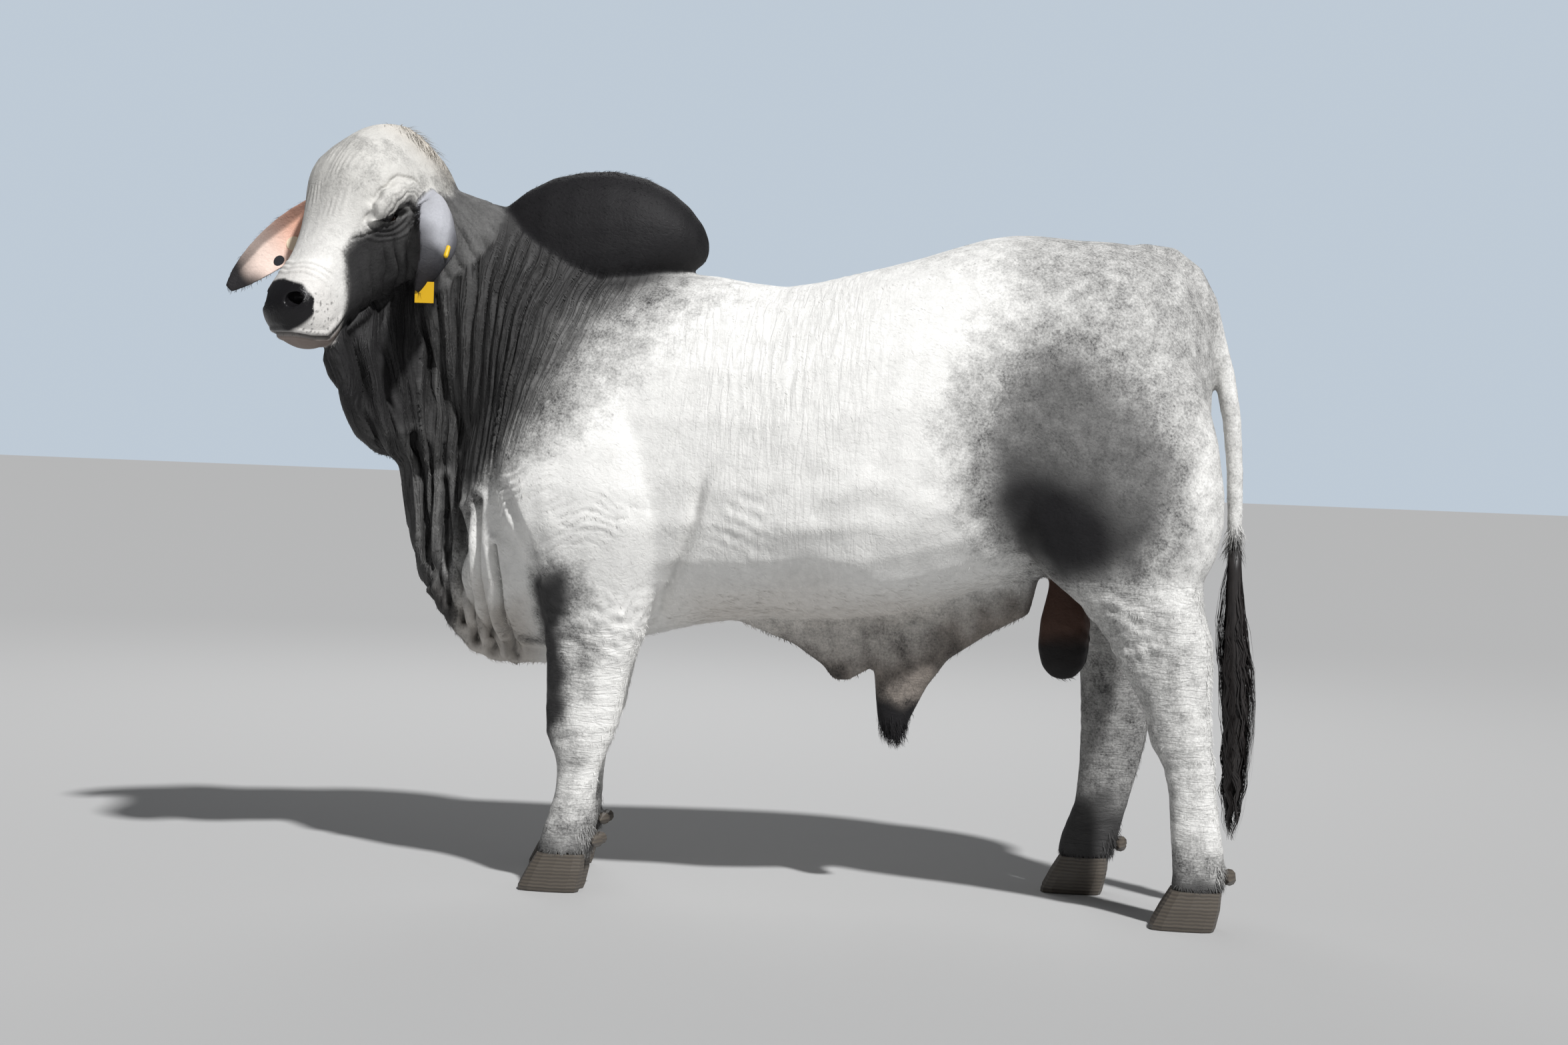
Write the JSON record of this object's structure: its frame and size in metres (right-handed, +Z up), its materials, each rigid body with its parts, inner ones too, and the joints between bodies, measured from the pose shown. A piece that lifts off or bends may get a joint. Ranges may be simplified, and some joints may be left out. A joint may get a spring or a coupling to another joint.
{
  "type": "brahman bull figure",
  "caption": "Life-size standing grey zebu bull with a tall hump, pleated dewlap, drooping tagged ears, sheath, hooves and a long black tail switch.",
  "frame": {"origin": "under the middle of the animal's bounding box, at the level of its soles", "axes": "-X the way the body faces, -Y its left side, +Z up"},
  "size_m": [2.3426, 0.7722, 1.6965],
  "materials": {
    "hide_pale": "short white and grey hair over loose skin, matt",
    "hide_dark": "short charcoal hair over loose folded skin, matt",
    "horn": "dry hoof horn, dull",
    "hair": "long wavy black hair, satin",
    "eye": "wet, glossy",
    "tag_yellow": "smooth, slightly worn",
    "tag_dark": "smooth",
    "tag_cream": "smooth, slightly worn"
  },
  "bodies": {
    "root": {"eye_left": "eye", "eye_right": "eye", "head": "hide_pale", "neck": "hide_dark", "torso": "hide_pale", "hump": "hide_dark", "dewlap": "hide_dark", "foreleg_left_upper": "hide_pale", "foreleg_left_lower": "hide_pale", "foreleg_right_upper": "hide_pale", "foreleg_right_lower": "hide_pale", "hindleg_left_upper": "hide_pale", "hindleg_left_lower": "hide_pale", "hindleg_right_upper": "hide_pale", "hindleg_right_lower": "hide_pale", "forefoot_left_claw_inner": "horn", "forefoot_left_dewclaw_inner": "horn", "forefoot_left_claw_outer": "horn", "forefoot_left_dewclaw_outer": "horn", "forefoot_right_claw_outer": "horn", "forefoot_right_dewclaw_outer": "horn", "forefoot_right_claw_inner": "horn", "forefoot_right_dewclaw_inner": "horn", "hindfoot_left_claw_inner": "horn", "hindfoot_left_dewclaw_inner": "horn", "hindfoot_left_claw_outer": "horn", "hindfoot_left_dewclaw_outer": "horn", "hindfoot_right_claw_outer": "horn", "hindfoot_right_dewclaw_outer": "horn", "hindfoot_right_claw_inner": "horn", "hindfoot_right_dewclaw_inner": "horn", "sheath": "hide_pale", "scrotum": "hide_dark", "tail_dock": "hide_pale", "tail_switch": "hair", "ear_tag_oval": "tag_yellow", "ear_tag_flap": "tag_yellow", "ear_left": "hide_pale", "ear_button_dark": "tag_dark", "ear_button_pale": "tag_cream", "ear_right": "hide_pale"}
  },
  "joints": []
}
